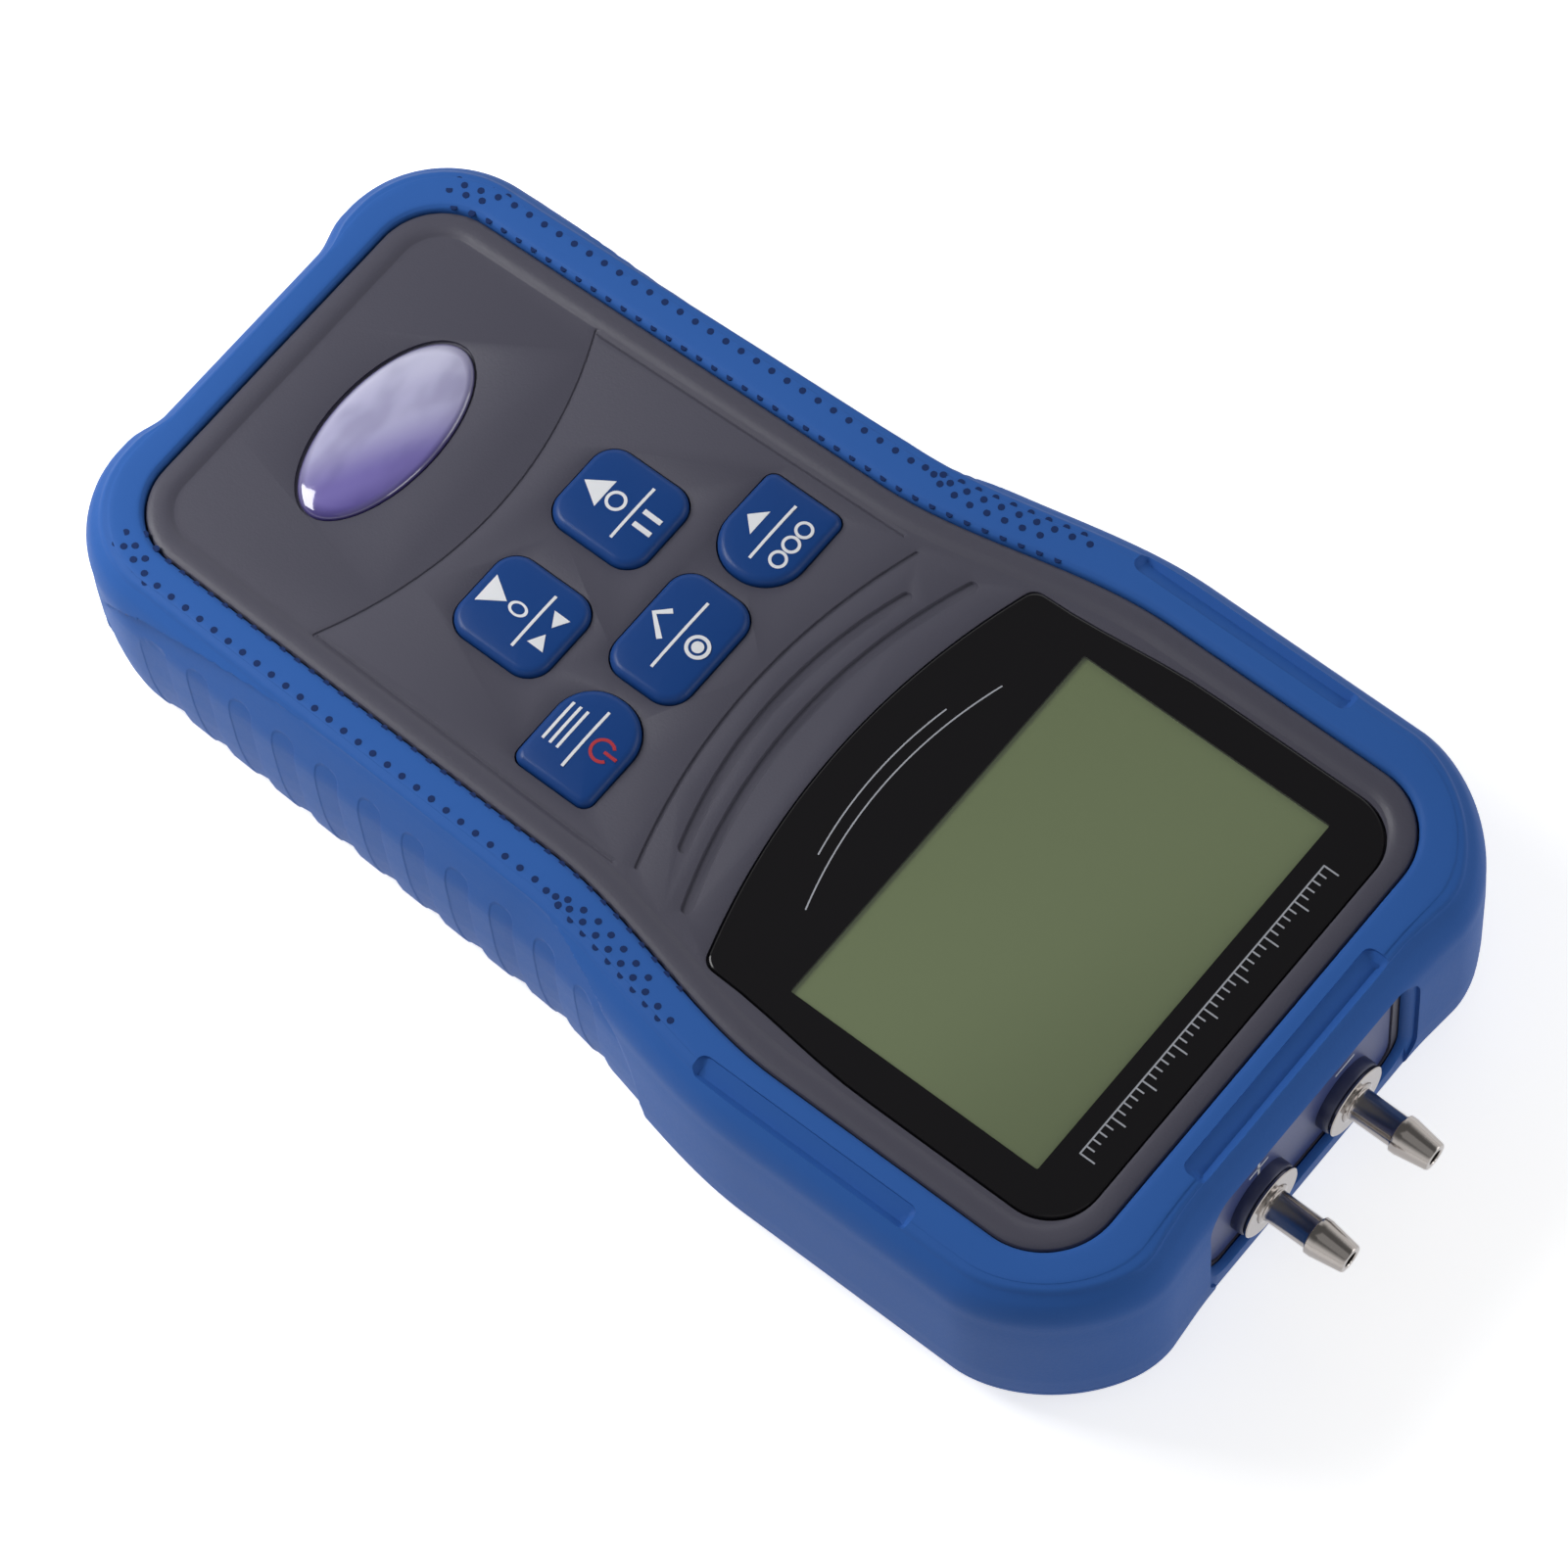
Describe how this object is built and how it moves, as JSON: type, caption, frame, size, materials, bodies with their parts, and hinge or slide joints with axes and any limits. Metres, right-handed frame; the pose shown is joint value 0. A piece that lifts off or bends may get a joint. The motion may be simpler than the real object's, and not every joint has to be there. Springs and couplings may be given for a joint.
{
  "type": "digital manometer",
  "caption": "Hand-held digital manometer: rubber-booted housing with a display window, rubber keys, barbed hose ports at the top end and a tilt stand on the back.",
  "frame": {"origin": "under the middle of the outline, on the plane that the back of the boot lies on", "axes": "+Y runs along the instrument to the tips of the hose ports, +Z out of the face, +X to the user's right when the face is read with the ports up"},
  "size_m": [0.099, 0.1936, 0.0346],
  "materials": {
    "boot_rubber": "matt blue thermoplastic rubber",
    "case_plastic": "fine-grained grey plastic",
    "seal_rubber": "black seal rubber",
    "window_gloss": "glossy printed window",
    "mask_film": "black printed film",
    "lcd_glass": "reflective liquid crystal display, grey-green",
    "light_plastic": "moulded off-white plastic",
    "board_green": "green solder-masked board",
    "chip_black": "black moulded plastic",
    "web_silicone": "translucent grey silicone",
    "key_rubber": "satin blue silicone rubber",
    "badge_gloss": "domed glossy resin, lavender to purple",
    "panel_plastic": "satin slate plastic",
    "collar_plastic": "dark plastic",
    "nickel_plate": "bright nickel plate",
    "brass_plain": "turned brass",
    "hose_silicone": "clear silicone hose",
    "battery_can": "plain painted can",
    "screw_steel": "zinc-plated steel"
  },
  "bodies": {
    "housing": {"rubber_boot": "boot_rubber", "front_case": "case_plastic", "rear_case": "case_plastic", "case_seal": "seal_rubber", "display_window": "window_gloss", "window_mask": "mask_film", "lcd_glass": "lcd_glass", "lcd_frame": "light_plastic", "lcd_connectors": "seal_rubber", "main_board": "board_green", "main_chip": "chip_black", "buzzer": "chip_black", "key_web": "web_silicone", "name_badge": "badge_gloss", "port_panel": "panel_plastic", "port_collars": "collar_plastic", "port_washers": "nickel_plate", "port_plus": "nickel_plate", "port_minus": "nickel_plate", "port_nuts": "brass_plain", "port_seals": "seal_rubber", "pressure_sensor": "light_plastic", "hose_plus": "hose_silicone", "hose_minus": "hose_silicone", "battery": "battery_can", "battery_snap": "chip_black", "battery_door": "case_plastic", "door_screw": "screw_steel", "stand_pin": "screw_steel", "tripod_insert": "brass_plain", "case_screws": "screw_steel", "board_screws": "screw_steel"},
    "key_unit_body": {"key_unit": "key_rubber"},
    "key_record_body": {"key_record": "key_rubber"},
    "key_menu_body": {"key_menu": "key_rubber"},
    "key_hold_body": {"key_hold": "key_rubber"},
    "key_zero_body": {"key_zero": "key_rubber"},
    "stand": {"tilt_stand": "case_plastic"}
  },
  "joints": [
    {"name": "key_unit_press", "type": "slide", "parent": "housing", "child": "key_unit_body", "axis": [0, 0, 1], "range_m": [-0.001, 0], "stiffness_N_per_m": 1500},
    {"name": "key_record_press", "type": "slide", "parent": "housing", "child": "key_record_body", "axis": [0, 0, 1], "range_m": [-0.001, 0], "stiffness_N_per_m": 1500},
    {"name": "key_menu_press", "type": "slide", "parent": "housing", "child": "key_menu_body", "axis": [0, 0, 1], "range_m": [-0.001, 0], "stiffness_N_per_m": 1500},
    {"name": "key_hold_press", "type": "slide", "parent": "housing", "child": "key_hold_body", "axis": [0, 0, 1], "range_m": [-0.001, 0], "stiffness_N_per_m": 1500},
    {"name": "key_zero_press", "type": "slide", "parent": "housing", "child": "key_zero_body", "axis": [0, 0, 1], "range_m": [-0.001, 0], "stiffness_N_per_m": 1500},
    {"name": "stand_hinge", "type": "hinge", "parent": "housing", "child": "stand", "pos_m": [0, 0.06443, 0.0031], "axis": [1, 0, 0], "range_deg": [0, 55]}
  ]
}
